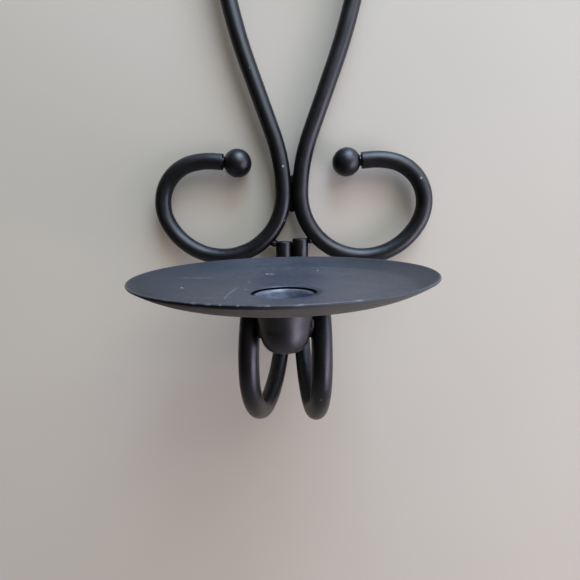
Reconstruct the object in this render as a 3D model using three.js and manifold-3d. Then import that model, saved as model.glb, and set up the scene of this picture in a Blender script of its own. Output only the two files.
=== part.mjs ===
// Wall sconce for one taper candle: two scrolled steel rods welded back to back, two hooked arms that
// reach forward, and a dished drip pan with a tapered candle cup under the hole in its middle.
//
// Millimetres, +Z up, +X to the right of someone facing the sconce, and the wall is the plane Y = 0.
// The origin is the centre of the hanging hole, on the wall. The sconce stands out towards -Y.

import * as THREE from "three";
import { mergeVertices } from "three/addons/utils/BufferGeometryUtils.js";
import Module from "manifold-3d";

const GAP = 0.3; // clearance between neighbouring pieces

// Rod stock, used for the scrolls and the arms.
const ROD_R = 4;
const ROD_SIDES = 12;
const TOUCH_X = ROD_R + GAP / 2; // centreline of two rods that lie side by side

// Hanger tab, flat on the wall behind the rods.
const TAB_WIDTH = 16;
const TAB_THICKNESS = 3;
const TAB_BOTTOM_Z = -38;
const HANG_HOLE_R = 3.5;
const ROD_Y = -(TAB_THICKNESS + GAP + ROD_R); // plane of the scrolls

// Scroll rods. A bend is [radius, degrees]: positive bends towards the left of the way along the rod.
// A straight stretch is [0, length]. The lists are for the right-hand rod, which starts at the waist.
const WAIST_Z = -161;
const LOWER_BENDS = [[31.3, 60.3], [30.7, 93.9], [20.4, 102.8], [36, 18], [0, 4]];
const FLARE_BENDS = [[84, -20], [0, 31.7], [250, 20]];
const CURL_DROP = 4;
const CURL_RADIUS = 9;
const LOBE_Z = -17; // height where the two upper lobes touch
const SCROLL_STEPS = 84;

// Ball ends of the scrolls.
const BALL_R = 6.9;
const BALL_NECK_R = 2.6;
const BALL_NECK_LENGTH = 0.5;

// Drip pan: a flat floor that sweeps up to the rim in one round stretch.
const PAN_R = 53.2;
const PAN_Y = ROD_Y - 70;
const PAN_UNDER_Z = WAIST_Z - 37.2;
const PAN_DEPTH = 6.9;
const PAN_FLOOR_R = 30;
const PAN_HOLE_R = 11.8;
const SHEET = 0.9;

// Candle cup, a tapered thimble whose rounded foot ends in a small flat, outside and inside.
const CUP_TOP_Z = PAN_UNDER_Z - GAP;
const CUP_TOP_R = 11.2;
const CUP_WAIST_R = 9.4;
const CUP_FOOT_R = 4.8;
const CUP_CONE_HEIGHT = 11.3;
const CUP_ROUND_HEIGHT = 9.2;
const CUP_WALL = 1;
const CUP_SEAT_R = 4.2;
const CUP_SEAT_THICKNESS = 1.6;
const CUP_SIDES = 24;

// Arms. Each is bent in one upright plane that splays outwards, then cut off flush under the pan.
const ARM_TOP_Z = { left: WAIST_Z - 23.8, right: WAIST_Z - 22.3 };
const ARM_STRAIGHT_END_Z = WAIST_Z - 51.7;
const ARM_BENDS = [[40.9, 90], [26.4, 90], [45, 50]];
const ARM_SPLAY = Math.atan(0.146);
const ARM_STEPS = 44;

// Weld beads. half: half sizes along X, Y and Z before their neighbours are cut out of them.
// drop: how far the bead's middle is below the height it belongs to. out: how far it is beyond an edge.
const WAIST_BEAD = { half: [3, 2, 9] };
const LOBE_BEAD = { half: [3, 2, 6], drop: 2 };
const ARM_TOPS_BEAD = { half: [3, 2, 6], drop: 7 };
const TAB_BEAD = { half: [1.8, 1.8, 6], drop: 3, out: 0.6 };
const STUB_BEAD = { half: [2, 2.8, 1.8], drop: 0.8, out: 0.9 };
const CUP_SIDE_BEAD = { half: [2.1, 2.1, 4.6], drop: 1.2 };
const PAN_BEAD = { half: [6.2, 6.2, 2.2] };
const CORNER_BEAD_WIDTH = 1.7;
const CORNER_BEAD_HEIGHT = 1.6;
const GROOVE = ROD_R * 0.85; // from the plane of two touching rods to the middle of a bead between them

const BLOCK = 60; // edge of the blocks that arms and beads are cut off with

const SIDES = [-1, 1];

const steel = (color, roughness) => new THREE.MeshStandardMaterial({ color, roughness, metalness: 0.35 });
const ROD_PAINT = steel(0x1b1b22, 0.42);
const PAN_PAINT = steel(0x353b45, 0.55);
const CUP_PAINT = steel(0x1f1e24, 0.48);
const WELD_PAINT = steel(0x16161a, 0.6);

const wasm = await Module();
wasm.setup();

// A planar centreline made of straight stretches and arcs, sampled by its length.
class BentLine extends THREE.Curve {
  constructor(start, headingDegrees, bends) {
    super();
    this.arcLengthDivisions = 400;
    this.stretches = [];
    let from = start.clone();
    let heading = THREE.MathUtils.degToRad(headingDegrees);
    for (const [radius, amount] of bends) {
      const turn = radius ? THREE.MathUtils.degToRad(amount) : 0;
      const length = radius ? Math.abs(radius * turn) : amount;
      this.stretches.push({ from, heading, turn, length });
      from = this.along(this.stretches.at(-1), length);
      heading += turn;
    }
    this.end = from;
    this.endHeading = heading;
    this.length = this.stretches.reduce((sum, stretch) => sum + stretch.length, 0);
  }

  // The point at a distance along one stretch. The line lies in the plane of X and Z.
  along({ from, heading, turn, length }, distance) {
    const swept = (turn * distance) / length;
    const chord = swept ? (distance * Math.sin(swept / 2)) / (swept / 2) : distance;
    const direction = heading + swept / 2;
    return new THREE.Vector3(chord * Math.cos(direction), 0, chord * Math.sin(direction)).add(from);
  }

  getPoint(t, target = new THREE.Vector3()) {
    let distance = t * this.length;
    let index = 0;
    while (index < this.stretches.length - 1 && distance > this.stretches[index].length) {
      distance -= this.stretches[index].length;
      index += 1;
    }
    return target.copy(this.along(this.stretches[index], distance));
  }
}

const toSolid = (geometry) => {
  const bare = geometry.index ? geometry.toNonIndexed() : geometry.clone();
  bare.deleteAttribute("normal");
  bare.deleteAttribute("uv");
  const merged = mergeVertices(bare, 1e-4);
  return new wasm.Manifold(new wasm.Mesh({
    numProp: 3,
    vertProperties: merged.attributes.position.array,
    triVerts: new Uint32Array(merged.index.array),
  }));
};

const toGeometry = (solid) => {
  const { vertProperties, triVerts } = solid.getMesh();
  const geometry = new THREE.BufferGeometry();
  geometry.setAttribute("position", new THREE.BufferAttribute(vertProperties, 3));
  geometry.setIndex(new THREE.BufferAttribute(triVerts, 1));
  geometry.computeVertexNormals();
  return geometry;
};

// A round bar along a curve, with flat ends.
function bar(curve, radius, steps) {
  const corners = Array.from({ length: ROD_SIDES }, (_, i) => {
    const angle = (i / ROD_SIDES) * 2 * Math.PI;
    return new THREE.Vector2(radius * Math.cos(angle), radius * Math.sin(angle));
  });
  return new THREE.ExtrudeGeometry(new THREE.Shape(corners), { steps, extrudePath: curve });
}

function named(name, geometry, material) {
  const mesh = new THREE.Mesh(geometry, material);
  mesh.name = name;
  return mesh;
}

const sideName = (side) => (side < 0 ? "left" : "right");

// Mirrors a bend list for the left-hand rod.
const forSide = (bends, side) => bends.map(([radius, amount]) => [radius, radius ? side * amount : amount]);

function lowerScrollLine(side) {
  return new BentLine(new THREE.Vector3(side * TOUCH_X, ROD_Y, WAIST_Z), -90, forSide(LOWER_BENDS, side));
}

// The flare rises to its widest point, then the lobe comes back to the middle and curls in under itself.
function upperScrollLine(side) {
  const start = new THREE.Vector3(side * TOUCH_X, ROD_Y, WAIST_Z);
  const flare = new BentLine(start, 90, forSide(FLARE_BENDS, side));
  const lobeRadius = (Math.abs(flare.end.x) - TOUCH_X) / 2;
  const curl = [[lobeRadius, 180], [0, CURL_DROP], [CURL_RADIUS, 90]];
  return new BentLine(start, 90, forSide([...FLARE_BENDS, ...curl], side));
}

// One rod from its lower tip to its upper tip, as a single curve.
class ScrollLine extends THREE.Curve {
  constructor(side) {
    super();
    this.arcLengthDivisions = 600;
    this.lower = lowerScrollLine(side);
    this.upper = upperScrollLine(side);
    this.length = this.lower.length + this.upper.length;
  }

  getPoint(t, target = new THREE.Vector3()) {
    const distance = t * this.length - this.lower.length;
    if (distance < 0) return this.lower.getPoint(-distance / this.lower.length, target);
    return this.upper.getPoint(distance / this.upper.length, target);
  }
}

// A ball with a short neck, turned so that the neck meets the cut end of the rod.
function ball(name, line) {
  const neckAngle = Math.asin(BALL_NECK_R / BALL_R);
  const profile = [new THREE.Vector2(0, -BALL_R)];
  for (let i = 1; i <= 10; i += 1) {
    const angle = (i / 10) * (Math.PI - neckAngle);
    profile.push(new THREE.Vector2(BALL_R * Math.sin(angle), -BALL_R * Math.cos(angle)));
  }
  const neckTop = BALL_R * Math.cos(neckAngle) + BALL_NECK_LENGTH;
  profile.push(new THREE.Vector2(BALL_NECK_R, neckTop), new THREE.Vector2(0, neckTop));
  const mesh = named(name, new THREE.LatheGeometry(profile, 16), ROD_PAINT);
  const forward = new THREE.Vector3(Math.cos(line.endHeading), 0, Math.sin(line.endHeading));
  mesh.quaternion.setFromUnitVectors(new THREE.Vector3(0, -1, 0), forward);
  mesh.position.copy(line.end).addScaledVector(forward, GAP + neckTop);
  return mesh;
}

// The arm's centreline, in its own plane: the rear leg stands on the local Z axis.
function armLine(side) {
  const top = ARM_TOP_Z[sideName(side)];
  return new BentLine(new THREE.Vector3(0, 0, top), -90, [[0, top - ARM_STRAIGHT_END_Z], ...ARM_BENDS]);
}

// Turns an arm's own plane into place: local X runs forward and outwards from the rear leg.
function armPlacement(side) {
  const turn = new THREE.Quaternion().setFromAxisAngle(
    new THREE.Vector3(0, 0, 1), -Math.PI / 2 + side * ARM_SPLAY);
  const place = new THREE.Vector3(side * TOUCH_X, ROD_Y, 0);
  return new THREE.Matrix4().compose(place, turn, new THREE.Vector3(1, 1, 1));
}

function armSolid(side, radius) {
  const whole = toSolid(bar(armLine(side), radius, ARM_STEPS).applyMatrix4(armPlacement(side)));
  const panSpace = new THREE.BoxGeometry(BLOCK, BLOCK, BLOCK).translate(0, PAN_Y, CUP_TOP_Z + BLOCK / 2);
  return whole.subtract(toSolid(panSpace));
}

// A dished pan of even sheet: a ring of flat floor around the hole, then the round sweep up to the rim.
function dripPan() {
  const sweep = PAN_R - PAN_FLOOR_R;
  const bendRadius = (sweep ** 2 + PAN_DEPTH ** 2) / (2 * PAN_DEPTH);
  const sweepAngle = Math.asin(sweep / bendRadius);
  const under = [];
  const inside = [];
  for (let i = 0; i <= 5; i += 1) {
    const angle = (i / 5) * sweepAngle;
    const onCircle = (radius) => new THREE.Vector2(
      PAN_FLOOR_R + radius * Math.sin(angle), bendRadius - radius * Math.cos(angle));
    under.push(onCircle(bendRadius));
    inside.unshift(onCircle(bendRadius - SHEET));
  }
  const hole = [new THREE.Vector2(PAN_HOLE_R, SHEET), new THREE.Vector2(PAN_HOLE_R, 0)];
  const profile = [hole[1], ...under, ...inside, ...hole];
  const geometry = new THREE.LatheGeometry(profile, 48).rotateX(Math.PI / 2);
  const mesh = named("drip_pan", geometry, PAN_PAINT);
  mesh.position.set(0, PAN_Y, PAN_UNDER_Z);
  return mesh;
}

// The cup's outside, from the middle of its foot up to its mouth, grown by a margin.
function cupOutside(margin) {
  const points = [new THREE.Vector2(0, -(CUP_CONE_HEIGHT + CUP_ROUND_HEIGHT + margin))];
  for (let i = 0; i <= 6; i += 1) {
    const angle = (i / 6) * (Math.PI / 2);
    const r = CUP_FOOT_R + (CUP_WAIST_R + margin - CUP_FOOT_R) * Math.sin(angle);
    const depth = CUP_CONE_HEIGHT + (CUP_ROUND_HEIGHT + margin) * Math.cos(angle);
    points.push(new THREE.Vector2(r, -depth));
  }
  return [...points, new THREE.Vector2(CUP_TOP_R + margin, 0)];
}

function candleCup() {
  const seatDepth = CUP_CONE_HEIGHT + CUP_ROUND_HEIGHT - CUP_SEAT_THICKNESS;
  const inside = [new THREE.Vector2(CUP_TOP_R - CUP_WALL, 0)];
  inside.push(new THREE.Vector2(CUP_WAIST_R - CUP_WALL, -CUP_CONE_HEIGHT));
  for (let i = 1; i <= 4; i += 1) {
    const angle = (i / 5) * (Math.PI / 2);
    const r = CUP_SEAT_R + (CUP_WAIST_R - CUP_WALL - CUP_SEAT_R) * Math.cos(angle);
    const depth = CUP_CONE_HEIGHT + (seatDepth - CUP_CONE_HEIGHT) * Math.sin(angle);
    inside.push(new THREE.Vector2(r, -depth));
  }
  inside.push(new THREE.Vector2(CUP_SEAT_R, -seatDepth), new THREE.Vector2(0, -seatDepth));
  const geometry = new THREE.LatheGeometry([...cupOutside(0), ...inside], CUP_SIDES).rotateX(Math.PI / 2);
  const mesh = named("candle_cup", geometry, CUP_PAINT);
  mesh.position.set(0, PAN_Y, CUP_TOP_Z);
  return mesh;
}

// A flat tab with a round top and one hole, standing on edge against the wall.
function hangerTab() {
  const half = TAB_WIDTH / 2;
  const outline = new THREE.Shape();
  outline.moveTo(-half, TAB_BOTTOM_Z);
  outline.lineTo(half, TAB_BOTTOM_Z);
  outline.absarc(0, 0, half, 0, Math.PI);
  outline.closePath();
  outline.holes.push(new THREE.Path().absarc(0, 0, HANG_HOLE_R, 0, 2 * Math.PI, true));
  const plate = new THREE.ExtrudeGeometry(outline, {
    depth: TAB_THICKNESS, bevelEnabled: false, curveSegments: 10,
  });
  return named("hanger_tab", plate.rotateX(Math.PI / 2), ROD_PAINT);
}

// A bead of weld: an egg-shaped lump with its neighbours cut out of it.
function weld(name, center, bead, neighbours) {
  const lump = new THREE.SphereGeometry(1, 16, 10).scale(...bead.half).translate(...center);
  const rest = neighbours.reduce((solid, neighbour) => solid.subtract(neighbour), toSolid(lump));
  const largest = rest.decompose().sort((a, b) => b.volume() - a.volume())[0];
  return named(name, toGeometry(largest), WELD_PAINT);
}

// The bead that closes the corner between the cup and the underside of the pan, with a hollow face.
function cupWeld() {
  const inner = CUP_TOP_R + GAP;
  const foot = new THREE.Vector2(inner, -CORNER_BEAD_HEIGHT);
  const face = new THREE.Vector2(inner + CORNER_BEAD_WIDTH * 0.4, -CORNER_BEAD_HEIGHT * 0.55);
  const edge = new THREE.Vector2(inner + CORNER_BEAD_WIDTH, 0);
  const profile = [foot, face, edge, new THREE.Vector2(inner, 0), foot];
  const ring = new THREE.LatheGeometry(profile, 32).rotateX(Math.PI / 2);
  const mesh = named("weld_cup_to_pan", ring, WELD_PAINT);
  mesh.position.set(0, PAN_Y, CUP_TOP_Z);
  return mesh;
}

// Beads that join the two scroll rods, the tab and the arm tops, all of them on or near the middle.
function frameWelds() {
  const rods = [clearance.left.scroll, clearance.right.scroll];
  const arms = [clearance.left.arm, clearance.right.arm];
  const tabBlank = new THREE.BoxGeometry(TAB_WIDTH + 2 * GAP, BLOCK, BLOCK);
  const tab = toSolid(tabBlank.translate(0, BLOCK / 2 - TAB_THICKNESS - GAP, 0));
  const beads = [
    weld("weld_waist", [0, ROD_Y + GROOVE, WAIST_Z], WAIST_BEAD, rods),
    weld("weld_lobes", [0, ROD_Y - GROOVE, LOBE_Z - LOBE_BEAD.drop], LOBE_BEAD, rods),
    weld("weld_arm_tops", [0, ROD_Y + GROOVE, ARM_TOP_Z.left - ARM_TOPS_BEAD.drop], ARM_TOPS_BEAD, arms),
  ];
  for (const side of SIDES) {
    const place = sideName(side);
    const tabEdge = [side * (TAB_WIDTH / 2 + TAB_BEAD.out), -TAB_THICKNESS, LOBE_Z - TAB_BEAD.drop];
    beads.push(weld(`weld_tab_${place}`, tabEdge, TAB_BEAD, [...rods, tab]));
    const outX = TOUCH_X + ROD_R + STUB_BEAD.out;
    const corner = [side * outX, ROD_Y, ARM_TOP_Z[place] - STUB_BEAD.drop];
    beads.push(weld(`weld_arm_${place}`, corner, STUB_BEAD, [...rods, ...arms]));
  }
  return beads;
}

// Beads that hold the cup and the pan on the arms.
function panWelds() {
  const cupBlank = new THREE.LatheGeometry([...cupOutside(GAP), new THREE.Vector2(0, 0)], CUP_SIDES);
  const cup = toSolid(cupBlank.rotateX(Math.PI / 2).translate(0, PAN_Y, CUP_TOP_Z));
  const panBlank = new THREE.BoxGeometry(BLOCK, BLOCK, BLOCK);
  const pan = toSolid(panBlank.translate(0, PAN_Y, CUP_TOP_Z + BLOCK / 2));
  return SIDES.flatMap((side) => {
    const place = sideName(side);
    const { arm } = clearance[place];
    const tip = armLine(side).end.applyMatrix4(armPlacement(side));
    const sideZ = CUP_TOP_Z - CUP_CONE_HEIGHT - CUP_SIDE_BEAD.drop;
    const cupSide = [side * CUP_WAIST_R, PAN_Y + CUP_WAIST_R / 2, sideZ];
    return [
      weld(`weld_cup_${place}`, cupSide, CUP_SIDE_BEAD, [arm, cup]),
      weld(`weld_pan_${place}`, [tip.x, tip.y, CUP_TOP_Z], PAN_BEAD, [arm, pan]),
    ];
  });
}

const sconce = new THREE.Group();
const clearance = {};

for (const side of SIDES) {
  const line = new ScrollLine(side);
  const place = sideName(side);
  sconce.add(named(`scroll_rod_${place}`, bar(line, ROD_R, SCROLL_STEPS), ROD_PAINT));
  sconce.add(ball(`ball_lower_${place}`, line.lower));
  sconce.add(ball(`ball_upper_${place}`, line.upper));
  sconce.add(named(`support_arm_${place}`, toGeometry(armSolid(side, ROD_R)), ROD_PAINT));
  clearance[place] = {
    scroll: toSolid(bar(line, ROD_R + GAP, SCROLL_STEPS)),
    arm: armSolid(side, ROD_R + GAP),
  };
}
sconce.add(dripPan(), candleCup(), hangerTab(), cupWeld());
sconce.add(...frameWelds(), ...panWelds());

export default sconce;
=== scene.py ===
"""Looks of a black steel wall sconce for one taper candle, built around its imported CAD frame.

Metres, +Z up, +X to the right of someone facing the sconce, and the wall is the plane y = 0. The origin
is the centre of the hanging hole. Every piece is welded to the next, so all of them ride on one body.
"""

import math

import bmesh
import bpy
from mathutils import Matrix, Vector, noise


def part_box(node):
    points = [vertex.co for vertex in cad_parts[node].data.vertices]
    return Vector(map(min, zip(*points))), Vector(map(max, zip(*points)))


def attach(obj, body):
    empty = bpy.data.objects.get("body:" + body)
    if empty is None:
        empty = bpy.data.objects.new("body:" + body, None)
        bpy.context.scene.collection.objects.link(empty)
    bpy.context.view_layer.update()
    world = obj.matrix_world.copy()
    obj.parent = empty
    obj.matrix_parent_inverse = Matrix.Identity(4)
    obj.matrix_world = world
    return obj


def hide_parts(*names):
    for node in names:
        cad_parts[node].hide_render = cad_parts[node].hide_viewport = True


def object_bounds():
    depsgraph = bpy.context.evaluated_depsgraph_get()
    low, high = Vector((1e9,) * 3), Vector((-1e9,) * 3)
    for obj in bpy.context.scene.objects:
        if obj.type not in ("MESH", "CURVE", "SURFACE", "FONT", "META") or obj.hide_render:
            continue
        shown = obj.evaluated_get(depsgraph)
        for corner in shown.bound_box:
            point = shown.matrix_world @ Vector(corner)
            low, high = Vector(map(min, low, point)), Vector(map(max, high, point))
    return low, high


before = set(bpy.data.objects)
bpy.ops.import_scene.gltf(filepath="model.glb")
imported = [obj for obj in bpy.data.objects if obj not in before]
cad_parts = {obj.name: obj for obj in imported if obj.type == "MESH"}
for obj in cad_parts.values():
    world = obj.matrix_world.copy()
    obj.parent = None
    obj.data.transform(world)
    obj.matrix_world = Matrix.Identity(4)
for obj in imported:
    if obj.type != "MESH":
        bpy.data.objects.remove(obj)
CAD_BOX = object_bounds()
UP = Vector((0, 0, 1))
MM = 0.001
SIDES = [("left", -1), ("right", 1)]

# ---------------------------------------------------------------------------------------------------
# Driving dimensions. A bend is (radius, degrees), positive to the left of the way along the rod, and
# (0, length) is a straight stretch. The lists are for the right-hand side.

ROD_R = 4 * MM
ROD_SWELL = 0.04 * MM
TOUCH_X = 4.15 * MM  # centreline of two rods that lie side by side
LOWER_BENDS = [(31.3, 60.3), (30.7, 93.9), (20.4, 102.8), (36, 18), (0, 4)]
FLARE_BENDS = [(84, -20), (0, 31.7), (250, 20)]
CURL_BENDS = [(0, 4), (9, 90)]
ARM_BENDS = [(40.9, 90), (26.4, 90), (45, 50)]
ARM_STRAIGHT_END = 51.7 * MM  # below the waist
ARM_SPLAY = math.atan(0.146)

BALL_R = 6.9 * MM
NECK_R = 2.6 * MM
NECK_LENGTH = 0.8 * MM

SHEET = 0.9 * MM
RIM_SHARE = 0.87  # of the sheet's thickness that is height at the sloping rim
PAN_WAVE = 0.16 * MM  # unevenness of the pan
PAN_FLOOR_R = 30 * MM
PAN_HOLE_R = 11.8 * MM

CUP_WAIST_R = 9.4 * MM
CUP_FOOT_R = 4.8 * MM
CUP_CONE = 11.3 * MM
CUP_WALL = 1 * MM
CUP_SEAT_R = 4.2 * MM
CUP_SEAT_THICKNESS = 1.6 * MM

HANG_HOLE_R = 3.5 * MM
LOBE_Z = -17 * MM  # height where the two upper lobes touch
PAN_LEAN = 0.0172  # radians: the pan and its cup are welded on with their right side a little high
EDGE = 0.35 * MM  # rounding that the paint leaves on a cut edge
TAB_EDGE = 0.5 * MM
STEP = 1.1 * MM  # between two rings of a rod
ROD_SIDES = 36
BALL_SIDES = 64
TURNED_SIDES = 144
PAN_SIDES = 192
CORNER_BEAD_SIDES = 240

# Weld beads, in millimetres. half: half sizes along X, Y and Z. drop: how far the bead's middle is below
# the height it belongs to. out: how far it is beyond an edge.
WAIST_BEAD = {"half": (3, 2, 9)}
LOBE_BEAD = {"half": (3, 2, 6), "drop": 2}
ARM_TOPS_BEAD = {"half": (3, 2, 6)}
TAB_BEAD = {"half": (1.8, 1.8, 6), "drop": 3, "out": 0.6}
STUB_BEAD = {"half": (2, 2.8, 1.8), "drop": 0.8, "out": 0.9}
CUP_SIDE_BEAD = {"half": (2.1, 2.1, 4.6), "drop": 1.2}
PAN_BEAD = {"half": (6.2, 6.2, 2.2)}
GROOVE = 0.85 * ROD_R  # from the plane of two touching rods to the middle of a bead between them
SUNK = 0.4 * MM  # how far a bead reaches into the sheet that it is welded to

# Wear, placed in millimetres. A scratch in the pan is (x, y, half length, bend centre x, bend centre y,
# half width) from the pan's axis, and then how bare it is. A speck or a chip on the pan is (x, y, radius).
PAN_SCRATCHES = [
    ((-19.4, -1.5, 13, 45, -6, 0.45), 0.42),
    ((-18.0, 9.0, 6, -40, 30, 0.3), 0.25),
    ((-8.8, 37.6, 2.6, -8, -160, 0.75), 0.7),
    ((-37.5, 21.5, 10, 60, -100, 0.4), 0.3),
    ((-30.0, -9.0, 9, -10, 90, 0.35), 0.28),
    ((24.5, 31.5, 5, 10, -60, 0.4), 0.22),
    ((-4.0, 24.0, 7, 0, 200, 0.3), 0.16),
    ((33.0, 8.0, 12, -30, -50, 0.3), 0.14),
]
PAN_SPECKS = [(-15.7, 22.6, 1.0), (-14.6, 5.5, 0.8), (-38.6, 5.4, 0.9), (12.5, 40.0, 0.7)]
RIM_CHIPS = [(-13.7, -51.6, 2.6), (-16.5, -36, 2.5), (-20.5, -49.3, 1.2), (-1.6, -53.0, 1.6),
             (7.0, -52.9, 1.3), (21.4, -48.9, 1.2), (-8.0, -52.7, 1.5)]
ROD_CHIPS = [(-4.0, -11.2, -148.2), (62.0, -11.0, -154.4)]
DUST_R = 44 * MM  # circle in the pan inside which dust has stayed, and along which it is rubbed

# Soft lights: name, direction from the pan, distance, size, watts and colour.
LIGHTS = [
    ("key_light", (0.42, -0.585, 0.69), 1.3, (0.9, 0.9), 8.3, (0.86, 0.94, 1.0)),
    ("side_light", (0.97, -0.24, 0.12), 0.8, (0.35, 0.9), 2.6, (0.68, 0.74, 1.0)),
    ("low_light", (0.78, -0.50, -0.37), 1.1, (0.50, 0.7), 5.6, (0.84, 0.76, 1.0)),
    ("top_light", (0.25, -0.25, 0.92), 0.8, (0.5, 0.4), 6.0, (0.46, 0.66, 1.0)),
]
AIR_WAY = (0.45, -0.35, 0.82)  # where the surrounding light is brightest
AIR_DIM_FROM = -0.35  # cosine of the angle from there at which it is down to dim
AIR_DIM = (0.034, 0.031, 0.028, 1)
AIR_BRIGHT = (0.42, 0.40, 0.38, 1)
TONES = [(0.012, 0.006), (0.03, 0.021), (0.08, 0.084), (0.2, 0.21)]  # (light in, light shown)

CAMERA_PLACE = (0.00984, -0.23741, -0.16694)
CAMERA_YAW = 0.0482
CAMERA_PITCH = 0.1834  # downwards
CAMERA_ROLL = -0.0069
CAMERA_LENS = 28.27


def middle(node):
    """Centre of a CAD node's box."""
    low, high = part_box(node)
    return (low + high) / 2


ROD_Y = middle("scroll_rod_left").y
WAIST_Z = middle("weld_waist").z
PAN_LOW, PAN_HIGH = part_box("drip_pan")
PAN_AXIS = Vector((0, middle("drip_pan").y, 0))
PAN_R = (PAN_HIGH.x - PAN_LOW.x) / 2
CUP_LOW, CUP_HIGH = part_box("candle_cup")
CUP_TOP_R = (CUP_HIGH.x - CUP_LOW.x) / 2
TAB_LOW, TAB_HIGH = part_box("hanger_tab")


# ---------------------------------------------------------------------------------------------------
# Meshes


def loft(rings, closed=False):
    """Vertices and faces of the skin over rings of points. A ring of one point is a tip."""
    verts, faces, first = [], [], []
    for ring in rings:
        first.append(len(verts))
        verts.extend(ring)
    pairs = [(i, i + 1) for i in range(len(rings) - 1)]
    if closed:
        pairs.append((len(rings) - 1, 0))
    for a, b in pairs:
        count = max(len(rings[a]), len(rings[b]))
        for i in range(count):
            corners = [(a, i), (a, (i + 1) % count), (b, (i + 1) % count), (b, i)]
            face = [first[r] + (k if len(rings[r]) > 1 else 0) for r, k in corners]
            faces.append(list(dict.fromkeys(face)))
    return verts, faces


def piece(name, skin, material, slot, *nodes, sharp=50):
    """A finished piece that rides on the sconce's one body and stands for its CAD nodes."""
    verts, faces = skin
    mesh = bpy.data.meshes.new(name)
    mesh.from_pydata(verts, [], faces)
    shell = bmesh.new()
    shell.from_mesh(mesh)
    bmesh.ops.recalc_face_normals(shell, faces=shell.faces)
    shell.to_mesh(mesh)
    shell.free()
    mesh.polygons.foreach_set("use_smooth", [True] * len(mesh.polygons))
    mesh.set_sharp_from_angle(angle=math.radians(sharp))
    mesh.materials.append(material)
    made = bpy.data.objects.new(name, mesh)
    bpy.context.scene.collection.objects.link(made)
    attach(made, "root")
    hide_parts(*nodes)
    return made


def bent_line(x, z, heading, bends):
    """Samples (x, z, heading) along a line of arcs and straight stretches in an upright plane."""
    samples = [(x, z, heading)]
    for radius, amount in bends:
        turn = math.radians(amount) if radius else 0
        length = abs(radius * turn) * MM if radius else amount * MM
        count = max(1, math.ceil(length / STEP))
        for i in range(1, count + 1):
            swept = turn * i / count
            distance = length * i / count
            chord = distance * math.sin(swept / 2) / (swept / 2) if swept else distance
            way = heading + swept / 2
            samples.append((x + chord * math.cos(way), z + chord * math.sin(way), heading + swept))
        x, z, heading = samples[-1]
    return samples


def for_side(bends, side):
    """Mirrors a bend list for the left-hand side."""
    return [(radius, amount * side if radius else amount) for radius, amount in bends]


def quarter_round(radius, edge, steps=4):
    """(radius, distance back from the end) of the rings that round off a cut end."""
    turns = [i / steps * math.pi / 2 for i in range(steps + 1)]
    return [(radius - edge * (1 - math.cos(a)), edge * (1 - math.sin(a))) for a in turns]


class Plane:
    """The upright plane that a rod is bent in."""

    def __init__(self, origin, forward):
        self.origin = origin
        self.forward = forward
        self.across = forward.cross(UP)

    def point(self, x, z):
        return self.origin + self.forward * x + UP * z

    def way(self, heading):
        return self.forward * math.cos(heading) + UP * math.sin(heading)


def ring(centre, way, across, radius):
    """A round section of a rod. Its radius varies a little, as drawn and painted bar does."""
    inward = across.cross(way)
    points = []
    for i in range(ROD_SIDES):
        angle = 2 * math.pi * i / ROD_SIDES
        out = inward * math.cos(angle) + across * math.sin(angle)
        swell = ROD_SWELL * noise.noise((centre + out * radius) * 180)
        points.append(centre + out * (radius + swell))
    return points


def rod(samples, plane, cut_z=None):
    """Rings of a round bar. Its ends are cut square with soft edges, or the far end flush at cut_z."""
    frames = [(plane.point(x, z), plane.way(h)) for x, z, h in samples]
    (start, start_way), (end, end_way) = frames[0], frames[-1]
    rings = [[start]]
    for radius, back in reversed(quarter_round(ROD_R, EDGE)):
        rings.append(ring(start + start_way * back, start_way, plane.across, radius))
    if cut_z is None:
        rings += [ring(c, w, plane.across, ROD_R) for c, w in frames[1:-1]]
        for radius, back in quarter_round(ROD_R, EDGE):
            rings.append(ring(end - end_way * back, end_way, plane.across, radius))
        return [*rings, [end]]
    whole = [ring(c, w, plane.across, ROD_R) for c, w in frames[1:]]
    past_hook = len(whole) // 2
    kept = [i for i, r in enumerate(whole) if i < past_hook or max(p.z for p in r) < cut_z]
    rings += [whole[i] for i in kept]
    way = frames[kept[-1] + 1][1]
    flush = [p + way * ((cut_z - p.z) / way.z) for p in rings[-1]]
    return [*rings, flush, [sum(flush, Vector()) / len(flush)]]


def turned(profile, origin, axis, sides=TURNED_SIDES):
    """Rings of a turned form, from (radius, height) pairs along its axis."""
    side = axis.orthogonal().normalized()
    other = axis.cross(side)
    rings = []
    for radius, height in profile:
        centre = origin + axis * height
        if radius < 1e-7:
            rings.append([centre])
            continue
        turns = [2 * math.pi * i / sides for i in range(sides)]
        rings.append([centre + (side * math.cos(a) + other * math.sin(a)) * radius for a in turns])
    return rings


def lean(rings):
    """Turns the rings of the pan, or of what is welded to it, out of level about the middle of its floor."""
    pivot = PAN_AXIS + UP * PAN_LOW.z
    turn = Matrix.Rotation(-PAN_LEAN, 3, "Y")
    return [[pivot + turn @ (p - pivot) for p in points] for points in rings]


# ---------------------------------------------------------------------------------------------------
# Pieces


def scroll_lines(side):
    """The lower and the upper half of one scroll rod, both from the waist outwards."""
    lower = bent_line(side * TOUCH_X, WAIST_Z, -math.pi / 2, for_side(LOWER_BENDS, side))
    flare = bent_line(side * TOUCH_X, WAIST_Z, math.pi / 2, for_side(FLARE_BENDS, side))
    lobe_r = (abs(flare[-1][0]) - TOUCH_X) / 2 / MM
    bends = [*FLARE_BENDS, (lobe_r, 180), *CURL_BENDS]
    upper = bent_line(side * TOUCH_X, WAIST_Z, math.pi / 2, for_side(bends, side))
    return lower, upper


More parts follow.
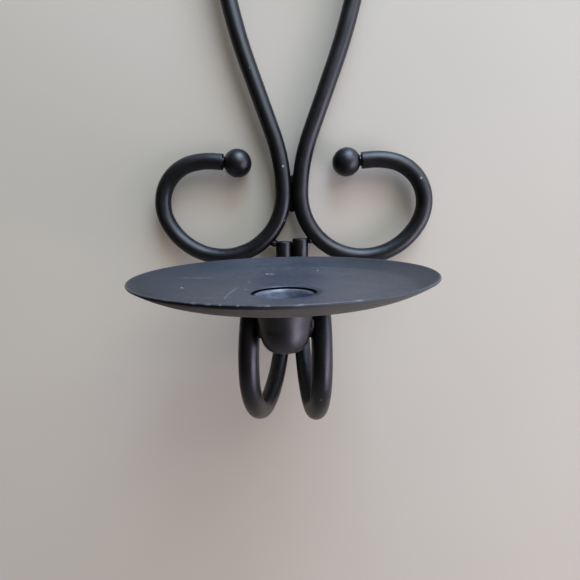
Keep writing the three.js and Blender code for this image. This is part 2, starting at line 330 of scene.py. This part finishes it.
def scroll(name, side, material):
    plane = Plane(Vector((0, ROD_Y, 0)), Vector((1, 0, 0)))
    lower, upper = scroll_lines(side)
    samples = [(x, z, h + math.pi) for x, z, h in reversed(lower)] + upper[1:]
    piece(f"{name}_scroll", loft(rod(samples, plane)), material, "rod_paint", f"scroll_rod_{name}")
    for place, line in [("lower", lower), ("upper", upper)]:
        x, z, heading = line[-1]
        ball(f"{name}_{place}", plane.point(x, z), plane.way(heading), material, f"ball_{place}_{name}")


def ball(name, tip, way, material, node):
    """A ball on a short neck at a rod's tip, with the small groove that the paint leaves between."""
    neck = math.asin(NECK_R / BALL_R)
    steps = 28
    turns = [i / steps * (math.pi - neck) for i in range(steps + 1)]
    profile = [(BALL_R * math.sin(a), BALL_R * math.cos(a)) for a in turns]
    shoulder = BALL_R * math.cos(neck)
    profile += [(NECK_R * 0.96, -shoulder - NECK_LENGTH / 2), (NECK_R, -shoulder - NECK_LENGTH)]
    profile += [(NECK_R, -shoulder - 2 * NECK_LENGTH), (0, -shoulder - 2 * NECK_LENGTH)]
    centre = tip + way * (shoulder + NECK_LENGTH)
    rings = turned(profile, centre, way, BALL_SIDES)
    piece(f"{name}_ball", loft(rings), material, "rod_paint", node)


def arm(name, side, material):
    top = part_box(f"support_arm_{name}")[1].z
    plane = Plane(Vector((side * TOUCH_X, ROD_Y, 0)),
                  Vector((side * math.sin(ARM_SPLAY), -math.cos(ARM_SPLAY), 0)))
    straight = (top - WAIST_Z + ARM_STRAIGHT_END) / MM
    samples = bent_line(0, top, -math.pi / 2, [(0, straight), *ARM_BENDS])
    rings = rod(samples, plane, cut_z=CUP_HIGH.z)
    piece(f"{name}_hook_arm", loft(rings), material, "rod_paint", f"support_arm_{name}")


def pan(material, under_material):
    """A dished pan of sheet with a rounded rim and a soft edge round its hole. The sheet waves a little."""
    under_z = PAN_LOW.z
    sweep = PAN_R - PAN_FLOOR_R
    depth = PAN_HIGH.z - under_z - SHEET * RIM_SHARE
    bend_r = (sweep ** 2 + depth ** 2) / (2 * depth)
    full = math.asin(sweep / bend_r)
    turns = [i / 30 * full for i in range(31)]

    def dish(radius):
        return [(PAN_FLOOR_R + radius * math.sin(a), bend_r - radius * math.cos(a)) for a in turns]

    floor = [PAN_HOLE_R + EDGE + (PAN_FLOOR_R - PAN_HOLE_R - EDGE) * i / 8 for i in range(8)]
    under = [(r, 0) for r in floor] + dish(bend_r)
    inside = dish(bend_r - SHEET)[::-1] + [(r, SHEET) for r in floor[::-1]]
    rim_r, rim_z = [(a + b) / 2 for a, b in zip(under[-1], inside[0])]
    rim = []
    for i in range(1, 6):
        angle = full - math.pi / 2 + i / 6 * math.pi
        rim.append((rim_r + SHEET / 2 * math.cos(angle), rim_z + SHEET / 2 * math.sin(angle)))
    hole = [(PAN_HOLE_R, SHEET - EDGE), (PAN_HOLE_R, EDGE)]
    profile = [*under, *rim, *inside, *hole]
    rings = turned(profile, PAN_AXIS + UP * under_z, UP, PAN_SIDES)
    for points in rings:
        for p in points:
            p.z += PAN_WAVE * noise.noise(Vector((p.x, p.y, 0)) * 22)
    made = piece("dished_drip_pan", loft(lean(rings), closed=True), material, "pan_paint", "drip_pan")
    made.data.materials.append(under_material)
    # The underside faces take the paint that carries painted bounce light and painted shade.
    top_of_under = (len(under) + 2) * PAN_SIDES
    for face in made.data.polygons:
        if max(face.vertices) < top_of_under:
            face.material_index = 1


def cup(material, inside_material):
    """A tapered thimble with a rounded bottom, a small flat seat inside and a mouth level with the pan."""
    depth = CUP_HIGH.z - CUP_LOW.z
    seat = depth - CUP_SEAT_THICKNESS
    lip = PAN_LOW.z - CUP_HIGH.z
    inner_r = CUP_WAIST_R - CUP_WALL
    flare = CUP_TOP_R - CUP_WAIST_R
    quarter = [i / 20 * math.pi / 2 for i in range(21)]
    tenths = [i / 10 for i in range(1, 11)]
    outside = [(0, -depth)]
    for a in quarter:
        radius = CUP_FOOT_R + (CUP_WAIST_R - CUP_FOOT_R) * math.sin(a)
        outside.append((radius, -CUP_CONE - (depth - CUP_CONE) * math.cos(a)))
    outside += [(CUP_WAIST_R + flare * t, -CUP_CONE * (1 - t)) for t in tenths]
    mouth = [(CUP_TOP_R, lip), (CUP_TOP_R - CUP_WALL + EDGE, lip), (CUP_TOP_R - CUP_WALL, lip - EDGE)]
    inside = [(inner_r + flare * (1 - t), -CUP_CONE * t) for t in tenths]
    for a in quarter[1:]:
        radius = CUP_SEAT_R + (inner_r - CUP_SEAT_R) * math.cos(a)
        inside.append((radius, -CUP_CONE - (seat - CUP_CONE) * math.sin(a)))
    profile = [*outside, *mouth, *inside, (0, -seat)]
    rings = turned(profile, PAN_AXIS + UP * CUP_HIGH.z, UP)
    made = piece("tapered_candle_cup", loft(lean(rings)), material, "cup_paint", "candle_cup")
    made.data.materials.append(inside_material)
    # The inner faces take the paint with the painted highlight.
    first_inside = len(outside) * TURNED_SIDES
    for face in made.data.polygons:
        if min(face.vertices) >= first_inside:
            face.material_index = 1


def tab(material):
    """A flat tab with a round top, one hanging hole and softened edges."""
    half = (TAB_HIGH.x - TAB_LOW.x) / 2
    corner = math.atan2(-TAB_LOW.z, half)
    turns = [math.pi * i / 32 for i in range(33)]
    turns += [math.pi + corner * i / 16 for i in range(1, 17)]
    turns += [math.pi + corner + (math.pi - 2 * corner) * i / 12 for i in range(1, 13)]
    turns += [2 * math.pi - corner + corner * i / 16 for i in range(1, 16)]

    def reach(angle, inset):
        if math.sin(angle) >= 0:
            return half - inset
        to_side = (half - inset) / max(abs(math.cos(angle)), 1e-6)
        to_foot = (-TAB_LOW.z - inset) / -math.sin(angle)
        return min(to_side, to_foot)

    back, front = TAB_HIGH.y, TAB_LOW.y
    hole = [(HANG_HOLE_R + TAB_EDGE, back), (HANG_HOLE_R, back - TAB_EDGE),
            (HANG_HOLE_R, front + TAB_EDGE), (HANG_HOLE_R + TAB_EDGE, front)]
    outline = [(TAB_EDGE, front), (0, front + TAB_EDGE), (0, back - TAB_EDGE), (TAB_EDGE, back)]
    section = [(y, [radius] * len(turns)) for radius, y in hole]
    section += [(y, [reach(a, inset) for a in turns]) for inset, y in outline]
    rings = []
    for y, reaches in section:
        rings.append([Vector((r * math.cos(a), y, r * math.sin(a))) for r, a in zip(reaches, turns)])
    piece("wall_tab", loft(rings, closed=True), material, "rod_paint", "hanger_tab", sharp=30)


def bead(name, node, centre, size, material, top=None):
    """A weld bead: an uneven, egg-shaped lump that sinks into its neighbours and stops below top."""
    half = size["half"]
    lump = bmesh.new()
    bmesh.ops.create_icosphere(lump, subdivisions=5, radius=1)
    seed = Vector((len(name), len(node), 3)) * 1.7
    verts = []
    for v in lump.verts:
        swell = 1 + 0.10 * noise.noise(v.co * 1.6 + seed) + 0.05 * noise.noise(v.co * 5 + seed)
        swell += 0.025 * math.sin(v.co.z * half[2] * 5.2 + v.co.x)
        place = centre + Vector(a * b for a, b in zip(v.co, half)) * swell * MM
        place.z = place.z if top is None else min(place.z, top)
        verts.append(place)
    faces = [[v.index for v in f.verts] for f in lump.faces]
    lump.free()
    piece(name, (verts, faces), material, "weld_paint", node)


def beads(material):
    """Every bead but the one round the cup."""
    behind = ROD_Y + GROOVE
    bead("waist_bead", "weld_waist", Vector((0, behind, WAIST_Z)), WAIST_BEAD, material)
    lobes = Vector((0, ROD_Y - GROOVE, LOBE_Z - LOBE_BEAD["drop"] * MM))
    bead("lobe_bead", "weld_lobes", lobes, LOBE_BEAD, material)
    stubs = Vector((0, behind, middle("weld_arm_tops").z))
    bead("stub_bead", "weld_arm_tops", stubs, ARM_TOPS_BEAD, material)
    for label, side in SIDES:
        tab_x = TAB_HIGH.x + TAB_BEAD["out"] * MM
        tab_edge = Vector((side * tab_x, TAB_LOW.y, LOBE_Z - TAB_BEAD["drop"] * MM))
        bead(f"{label}_tab_bead", f"weld_tab_{label}", tab_edge, TAB_BEAD, material)
        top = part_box(f"support_arm_{label}")[1].z
        corner_x = TOUCH_X + ROD_R + STUB_BEAD["out"] * MM
        corner = Vector((side * corner_x, ROD_Y, top - STUB_BEAD["drop"] * MM))
        bead(f"{label}_stub_bead", f"weld_arm_{label}", corner, STUB_BEAD, material)
        beside_z = CUP_HIGH.z - CUP_CONE - CUP_SIDE_BEAD["drop"] * MM
        beside = Vector((side * CUP_WAIST_R, PAN_AXIS.y + CUP_WAIST_R / 2, beside_z))
        bead(f"{label}_cup_bead", f"weld_cup_{label}", beside, CUP_SIDE_BEAD, material)
        leg = middle(f"weld_pan_{label}")
        under = Vector((leg.x, leg.y, CUP_HIGH.z))
        bead(f"{label}_pan_bead", f"weld_pan_{label}", under, PAN_BEAD, material, PAN_LOW.z + SUNK)


def cup_bead(material):
    """The bead that closes the corner between the cup and the underside of the pan."""
    low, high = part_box("weld_cup_to_pan")
    outer = (high.x - low.x) / 2
    height = high.z - low.z
    inner = CUP_TOP_R - SUNK
    above = 0.2 * MM
    profile = [(inner, above)]
    for i in range(9):
        a = i / 8 * math.pi / 2
        radius = outer - (outer - CUP_TOP_R) * math.sin(a)
        profile.append((radius, above - (height + above) * (1 - math.cos(a))))
    profile.append((inner, -height))
    rings = turned(profile, PAN_AXIS + UP * high.z, UP, CORNER_BEAD_SIDES)
    for points in rings:
        for p in points:
            out = (p - PAN_AXIS) * Vector((1, 1, 0))
            turn = math.atan2(out.x, out.y)
            ripple = 0.05 * math.sin(turn * 58) + 0.22 * noise.noise(out * 260)
            p += out.normalized() * ripple * MM
    piece("cup_corner_bead", loft(lean(rings), closed=True), material, "weld_paint", "weld_cup_to_pan")


# ---------------------------------------------------------------------------------------------------
# Materials


class Paint:
    """A node material. Coordinates are the sconce's own, in metres."""

    def __init__(self, name, **sockets):
        self.material = bpy.data.materials.new(name)
        self.material.use_nodes = True
        self.tree = self.material.node_tree
        self.shader = self.tree.nodes["Principled BSDF"]
        for key, value in sockets.items():
            self.shader.inputs[key.replace("_", " ")].default_value = value
        coordinates = self.add("ShaderNodeTexCoord")
        self.place = coordinates.outputs["Object"]
        self.normal = coordinates.outputs["Normal"]

    def add(self, kind, inputs=None, **settings):
        made = self.tree.nodes.new(kind)
        for key, value in settings.items():
            setattr(made, key, value)
        for key, value in (inputs or {}).items():
            self.feed(made.inputs[key], value)
        return made

    def feed(self, socket, value):
        if isinstance(value, bpy.types.NodeSocket):
            self.tree.links.new(value, socket)
        else:
            socket.default_value = value

    def math(self, operation, a, b=0.0, c=0.0):
        return self.add("ShaderNodeMath", {0: a, 1: b, 2: c}, operation=operation).outputs[0]

    def span(self, value, low, high, to_low=0.0, to_high=1.0):
        """Takes low..high to to_low..to_high with soft ends."""
        inputs = {"Value": value, "From Min": low, "From Max": high, "To Min": to_low, "To Max": to_high}
        return self.add("ShaderNodeMapRange", inputs, interpolation_type="SMOOTHSTEP").outputs["Result"]

    def blend(self, factor, a, b):
        inputs = {0: factor, 6: a, 7: b}
        return self.add("ShaderNodeMix", inputs, data_type="RGBA").outputs[2]

    def grain(self, scale, detail=3.0, stretch=(1, 1, 1), roughness=0.5):
        place = self.add("ShaderNodeMapping", {"Vector": self.place, "Scale": stretch}).outputs[0]
        inputs = {"Vector": place, "Scale": scale, "Detail": detail, "Roughness": roughness}
        return self.add("ShaderNodeTexNoise", inputs).outputs[0]

    def facing_up(self, low, high):
        z = self.add("ShaderNodeSeparateXYZ", {0: self.normal}).outputs[2]
        return self.span(z, low, high)

    def sideways(self):
        return self.add("ShaderNodeSeparateXYZ", {0: self.place}).outputs[0]

    def distance(self, place, spot):
        return self.add("ShaderNodeVectorMath", {0: place, 1: spot}, operation="DISTANCE").outputs["Value"]

    def reach(self, x, y):
        """Distance from an upright line that stands x and y millimetres from the pan's axis."""
        level = {0: self.place, 1: (1, 1, 0)}
        flat = self.add("ShaderNodeVectorMath", level, operation="MULTIPLY").outputs[0]
        return self.distance(flat, PAN_AXIS + Vector((x, y, 0)) * MM)

    def near(self, distance, solid, edge):
        """One within solid millimetres, fading to nothing at edge millimetres."""
        return self.span(distance, solid * MM, edge * MM, 1, 0)

    def off(self, value, middle_value):
        return self.math("ABSOLUTE", self.math("SUBTRACT", value, middle_value))

    def product(self, *factors):
        value = factors[0]
        for factor in factors[1:]:
            value = self.math("MULTIPLY", value, factor)
        return value

    def scratch(self, x, y, half_length, bend_x, bend_y, half_width):
        """A scratch through (x, y), bent round (bend_x, bend_y). Millimetres from the pan's axis."""
        bend_r = math.hypot(x - bend_x, y - bend_y) * MM
        off_line = self.off(self.reach(bend_x, bend_y), bend_r)
        line = self.near(off_line, half_width * 0.3, half_width)
        return self.product(line, self.near(self.reach(x, y), half_length * 0.6, half_length))

    def finish(self, colour, rough, height, bump, distance):
        self.feed(self.shader.inputs["Base Color"], colour)
        self.feed(self.shader.inputs["Roughness"], rough)
        inputs = {"Strength": bump, "Distance": distance, "Height": height}
        relief = self.add("ShaderNodeBump", inputs).outputs[0]
        self.feed(self.shader.inputs["Normal"], relief)
        return self.material


def black_paint(name, dark, light, dust, dust_amount, rough, shine):
    """Satin black paint: a cloudy tone, orange peel, dust on upward faces and a few pinhead chips."""
    paint = Paint(name, Specular_IOR_Level=shine)
    cloud = paint.span(paint.grain(140, 4), 0.32, 0.7)
    colour = paint.blend(cloud, dark, light)
    film = paint.math("MULTIPLY", paint.facing_up(0.1, 1), paint.span(paint.grain(420, 5), 0.3, 0.75))
    film = paint.math("MULTIPLY", film, dust_amount)
    colour = paint.blend(film, colour, dust)
    chips = paint.span(paint.grain(700, 1.5), 0.79, 0.81)
    for spot in ROD_CHIPS:
        away = paint.distance(paint.place, Vector(spot) * MM)
        chips = paint.math("MAXIMUM", chips, paint.near(away, 0.2, 0.75))
    colour = paint.blend(chips, colour, (0.32, 0.31, 0.30, 1))
    wear = paint.span(paint.grain(90, 5, roughness=0.65), 0.3, 0.72, rough - 0.05, rough + 0.09)
    rough_map = paint.math("ADD", wear, paint.math("MULTIPLY", film, 0.25))
    peel = paint.grain(1500, 2)
    height = paint.math("SUBTRACT", peel, paint.math("MULTIPLY", chips, 1.5))
    return paint.finish(colour, rough_map, height, 0.22, 0.06 * MM)


def pan_dust_and_painted_shade(paint, out, top, speckle):
    """Dust on the pan, with painted shade: the film fades towards the left as painted shade, is thinner on
    the right-hand slope, and is rubbed in circles.
    """
    # Painted shade: this mask thins the film and the rub marks towards the left, so the pan's left stays
    # darker.
    right = paint.span(paint.sideways(), -52 * MM, -8 * MM, 0.2, 1)
    wiped = paint.product(right, paint.span(out, DUST_R, DUST_R + 3 * MM, 0, 0.45))
    amount = paint.math("MULTIPLY_ADD", speckle, 0.20, 0.14)
    film = paint.product(top, right, paint.math("SUBTRACT", 1, wiped), amount)

    # Noise that hardly changes along a circle round the pan.
    drift = paint.math("MULTIPLY", paint.sideways(), 0.03)
    circles = paint.add("ShaderNodeCombineXYZ", {0: out, 1: drift}).outputs[0]
    rings = paint.add("ShaderNodeTexNoise", {"Vector": circles, "Scale": 900, "Detail": 3}).outputs[0]
    rubs = paint.product(paint.span(rings, 0.45, 0.75), paint.near(paint.off(out, DUST_R), 1, 9))
    patches = paint.span(paint.grain(45, 3), 0.35, 0.7)
    return paint.math("ADD", film, paint.product(top, rubs, right, patches, 0.14))


def pan_bare(paint, out, top):
    """Where the pan's paint is scratched, chipped or worn: broken lines, specks and a ragged rim."""
    broken = paint.span(paint.grain(1100, 3), 0.38, 0.6)
    bare = 0.0
    for line, strength in PAN_SCRATCHES:
        bare = paint.math("MAXIMUM", bare, paint.product(paint.scratch(*line), broken, strength))
    for x, y, radius in PAN_SPECKS:
        spot = paint.near(paint.reach(x, y), radius * 0.3, radius)
        bare = paint.math("MAXIMUM", bare, paint.product(spot, 0.6))
    bare = paint.math("MULTIPLY", bare, top)
    ragged = paint.span(paint.grain(650, 4, roughness=0.65), 0.42, 0.62)
    for x, y, radius in RIM_CHIPS:
        spot = paint.near(paint.reach(x, y), radius * 0.4, radius * 1.8)
        bare = paint.math("MAXIMUM", bare, paint.product(spot, ragged, 0.24))
    worn = paint.span(paint.grain(170, 5, (1, 1, 0.2), 0.7), 0.56, 0.68)
    crest = paint.near(paint.off(out, PAN_R - 0.2 * MM), 0.25, 0.8)
    return paint.math("MAXIMUM", bare, paint.product(worn, crest, ragged, 0.14))


def pan_paint():
    """Satin black paint dulled to slate by dust, darker to the left as painted shade, with rub marks,
    scratches and rim chips.
    """
    paint = Paint("pan_paint_film", Specular_IOR_Level=0.5)
    cloud = paint.span(paint.grain(34, 5, roughness=0.6), 0.3, 0.7)
    top = paint.facing_up(0.2, 0.8)
    speckle = paint.span(paint.grain(900, 4, roughness=0.7), 0.35, 0.75)
    out = paint.reach(0, 0)
    colour = paint.blend(cloud, (0.017, 0.019, 0.025, 1), (0.030, 0.032, 0.039, 1))
    colour = paint.blend(pan_dust_and_painted_shade(paint, out, top, speckle), colour, (0.200, 0.218, 0.262, 1))
    bare = pan_bare(paint, out, top)
    colour = paint.blend(bare, colour, (0.42, 0.43, 0.47, 1))
    rough = paint.math("ADD", paint.span(cloud, 0, 1, 0.38, 0.47), paint.math("MULTIPLY", bare, 0.2))
    height = paint.math("SUBTRACT", speckle, paint.math("MULTIPLY", bare, 2))
    return paint.finish(colour, rough, height, 0.12, 0.03 * MM)


def pan_under_paint():
    """Duller paint under the pan, lighter and browner to the right as painted bounce light from the wall,
    with a painted shade line along the rim's left.
    """
    paint = Paint("pan_underside_painted_light", Specular_IOR_Level=0.12)
    cloud = paint.span(paint.grain(60, 5, roughness=0.6), 0.3, 0.7)
    x = paint.sideways()
    # Random tone plus painted light: the colour grows to a lighter brownish grey towards the right.
    tone_and_painted_light = paint.math("MULTIPLY_ADD", cloud, 0.2, paint.span(x, -48 * MM, 8 * MM, 0.0, 0.8))
    colour = paint.blend(tone_and_painted_light, (0.012, 0.012, 0.011, 1), (0.105, 0.104, 0.097, 1))
    # Painted shade: a dark line along the left half of the rim's edge, where it reflects the dark room.
    left = paint.span(x, -20 * MM, 24 * MM, 1, 0)
    rim = paint.span(paint.reach(0, 0), PAN_R - 1.3 * MM, PAN_R - 0.7 * MM)
    colour = paint.blend(paint.product(left, rim), colour, (0.007, 0.007, 0.008, 1))
    rough = paint.span(cloud, 0, 1, 0.50, 0.62)
    return paint.finish(colour, rough, cloud, 0.1, 0.03 * MM)


def cup_inside_highlight_paint():
    """Lighter blue-grey, half-metallic paint on the cup's inner wall: a painted highlight for the lit wall
    seen in the pan's hole.
    """
    paint = Paint("cup_inside_painted_highlight", Specular_IOR_Level=0.5, Metallic=0.55)
    cloud = paint.span(paint.grain(260, 4), 0.3, 0.7)
    # Painted highlight: these light blue-grey colours stand in for the shine on the lit inner wall.
    colour = paint.blend(cloud, (0.13, 0.155, 0.20, 1), (0.22, 0.25, 0.32, 1))
    rough = paint.span(cloud, 0, 1, 0.34, 0.46)
    return paint.finish(colour, rough, cloud, 0.1, 0.03 * MM)


def wall_paint(name, colour):
    """Matt backdrop paint that can be seen through from behind."""
    paint = Paint(name, Roughness=0.9, Specular_IOR_Level=0.15)
    tone = paint.span(paint.grain(5, 3), 0.3, 0.7)
    deeper = [*(c * 0.97 for c in colour[:3]), 1]
    paint.feed(paint.shader.inputs["Base Color"], paint.blend(tone, colour, deeper))
    back = paint.add("ShaderNodeNewGeometry").outputs["Backfacing"]
    clear = paint.add("ShaderNodeBsdfTransparent").outputs[0]
    mix = paint.add("ShaderNodeMixShader", {0: back, 1: paint.shader.outputs[0], 2: clear}).outputs[0]
    output = paint.tree.nodes["Material Output"]
    paint.feed(output.inputs["Surface"], mix)
    return paint.material


# ---------------------------------------------------------------------------------------------------
# Studio


def stage_sheet(name, corners, material):
    mesh = bpy.data.meshes.new(name)
    mesh.from_pydata(corners, [], [(0, 1, 2, 3)])
    mesh.materials.append(material)
    made = bpy.data.objects.new(name, mesh)
    bpy.context.scene.collection.objects.link(made)


def studio():
    """A pale wall behind the sconce, a pale floor well below it, and soft light mostly from the right."""
    floor_z = CAD_BOX[0].z - 1.2
    wide, tall, far = 3.0, 2.2, 4.0
    wall = [(-wide, 0, floor_z), (wide, 0, floor_z), (wide, 0, tall), (-wide, 0, tall)]
    stage_sheet("studio_wall", wall, wall_paint("wall_matt", (0.62, 0.560, 0.455, 1)))
    floor = [(-wide, -far, floor_z), (wide, -far, floor_z), (wide, far, floor_z), (-wide, far, floor_z)]
    stage_sheet("studio_floor", floor, wall_paint("floor_matt", (0.66, 0.65, 0.63, 1)))
    target = middle("drip_pan")
    for name, way, *rest in LIGHTS:
        soft_light(name, target, way, *rest)
    air_light(AIR_WAY, AIR_DIM, AIR_BRIGHT)


def air_light(way, dim, bright):
    """Surrounding light that grows from dim at the lower left to bright at the upper right."""
    world = bpy.data.worlds.new("studio_air")
    world.use_nodes = True
    nodes, links = world.node_tree.nodes, world.node_tree.links
    toward = nodes.new("ShaderNodeVectorMath")
    toward.operation = "DOT_PRODUCT"
    toward.inputs[1].default_value = Vector(way).normalized()
    links.new(nodes.new("ShaderNodeTexCoord").outputs["Generated"], toward.inputs[0])
    span = nodes.new("ShaderNodeMapRange")
    span.interpolation_type = "SMOOTHSTEP"
    span.inputs["From Min"].default_value = AIR_DIM_FROM
    links.new(toward.outputs["Value"], span.inputs["Value"])
    tone = nodes.new("ShaderNodeMix")
    tone.data_type = "RGBA"
    tone.inputs[6].default_value = dim
    tone.inputs[7].default_value = bright
    links.new(span.outputs["Result"], tone.inputs[0])
    links.new(tone.outputs[2], nodes["Background"].inputs["Color"])
    bpy.context.scene.world = world


def soft_light(name, target, way, distance, size, power, colour):
    data = bpy.data.lights.new(name, "AREA")
    data.shape = "RECTANGLE"
    data.size, data.size_y = size
    data.energy = power
    data.color = colour
    lamp = bpy.data.objects.new(name, data)
    way = Vector(way).normalized()
    lamp.location = target + way * distance
    lamp.rotation_mode = "QUATERNION"
    lamp.rotation_quaternion = way.to_track_quat("Z", "Y")
    bpy.context.scene.collection.objects.link(lamp)


def camera():
    """Close in front of the pan, a little above it, looking slightly down and to the left."""
    data = bpy.data.cameras.new("view_camera")
    data.sensor_width = 36
    data.lens = CAMERA_LENS
    data.clip_start = 5 * MM
    made = bpy.data.objects.new("view_camera", data)
    bpy.context.scene.collection.objects.link(made)
    yaw = Matrix.Rotation(CAMERA_YAW, 4, "Z")
    tilt = Matrix.Rotation(math.pi / 2 - CAMERA_PITCH, 4, "X")
    roll = Matrix.Rotation(CAMERA_ROLL, 4, "Z")
    made.matrix_world = Matrix.Translation(CAMERA_PLACE) @ yaw @ tilt @ roll
    bpy.context.scene.camera = made


def tone_curve(points):
    """Gives the picture the deep blacks of a small camera. Points are (light in, light shown)."""
    settings = bpy.context.scene.view_settings
    settings.view_transform = "Standard"
    settings.use_curve_mapping = True
    curves = settings.curve_mapping
    for light, shown in points:
        curves.curves[3].points.new(light, shown)
    curves.update()


camera()
studio()
tone_curve(TONES)

rod_paint = black_paint(
    "rod_paint_film", dark=(0.0022, 0.0022, 0.0026, 1), light=(0.0045, 0.0045, 0.0058, 1),
    dust=(0.10, 0.12, 0.16, 1), dust_amount=0.14, rough=0.40, shine=0.68)
cup_paint = black_paint(
    "cup_paint_film", dark=(0.0080, 0.0070, 0.0088, 1), light=(0.0120, 0.0105, 0.0135, 1),
    dust=(0.10, 0.11, 0.13, 1), dust_amount=0.10, rough=0.44, shine=0.85)
weld_paint = black_paint(
    "weld_paint_film", dark=(0.0030, 0.0030, 0.0036, 1), light=(0.0060, 0.0060, 0.0072, 1),
    dust=(0.09, 0.10, 0.11, 1), dust_amount=0.08, rough=0.45, shine=0.4)

for label, side in SIDES:
    scroll(label, side, rod_paint)
    arm(label, side, rod_paint)
pan(pan_paint(), pan_under_paint())
cup(cup_paint, cup_inside_highlight_paint())
tab(rod_paint)
beads(weld_paint)
cup_bead(weld_paint)
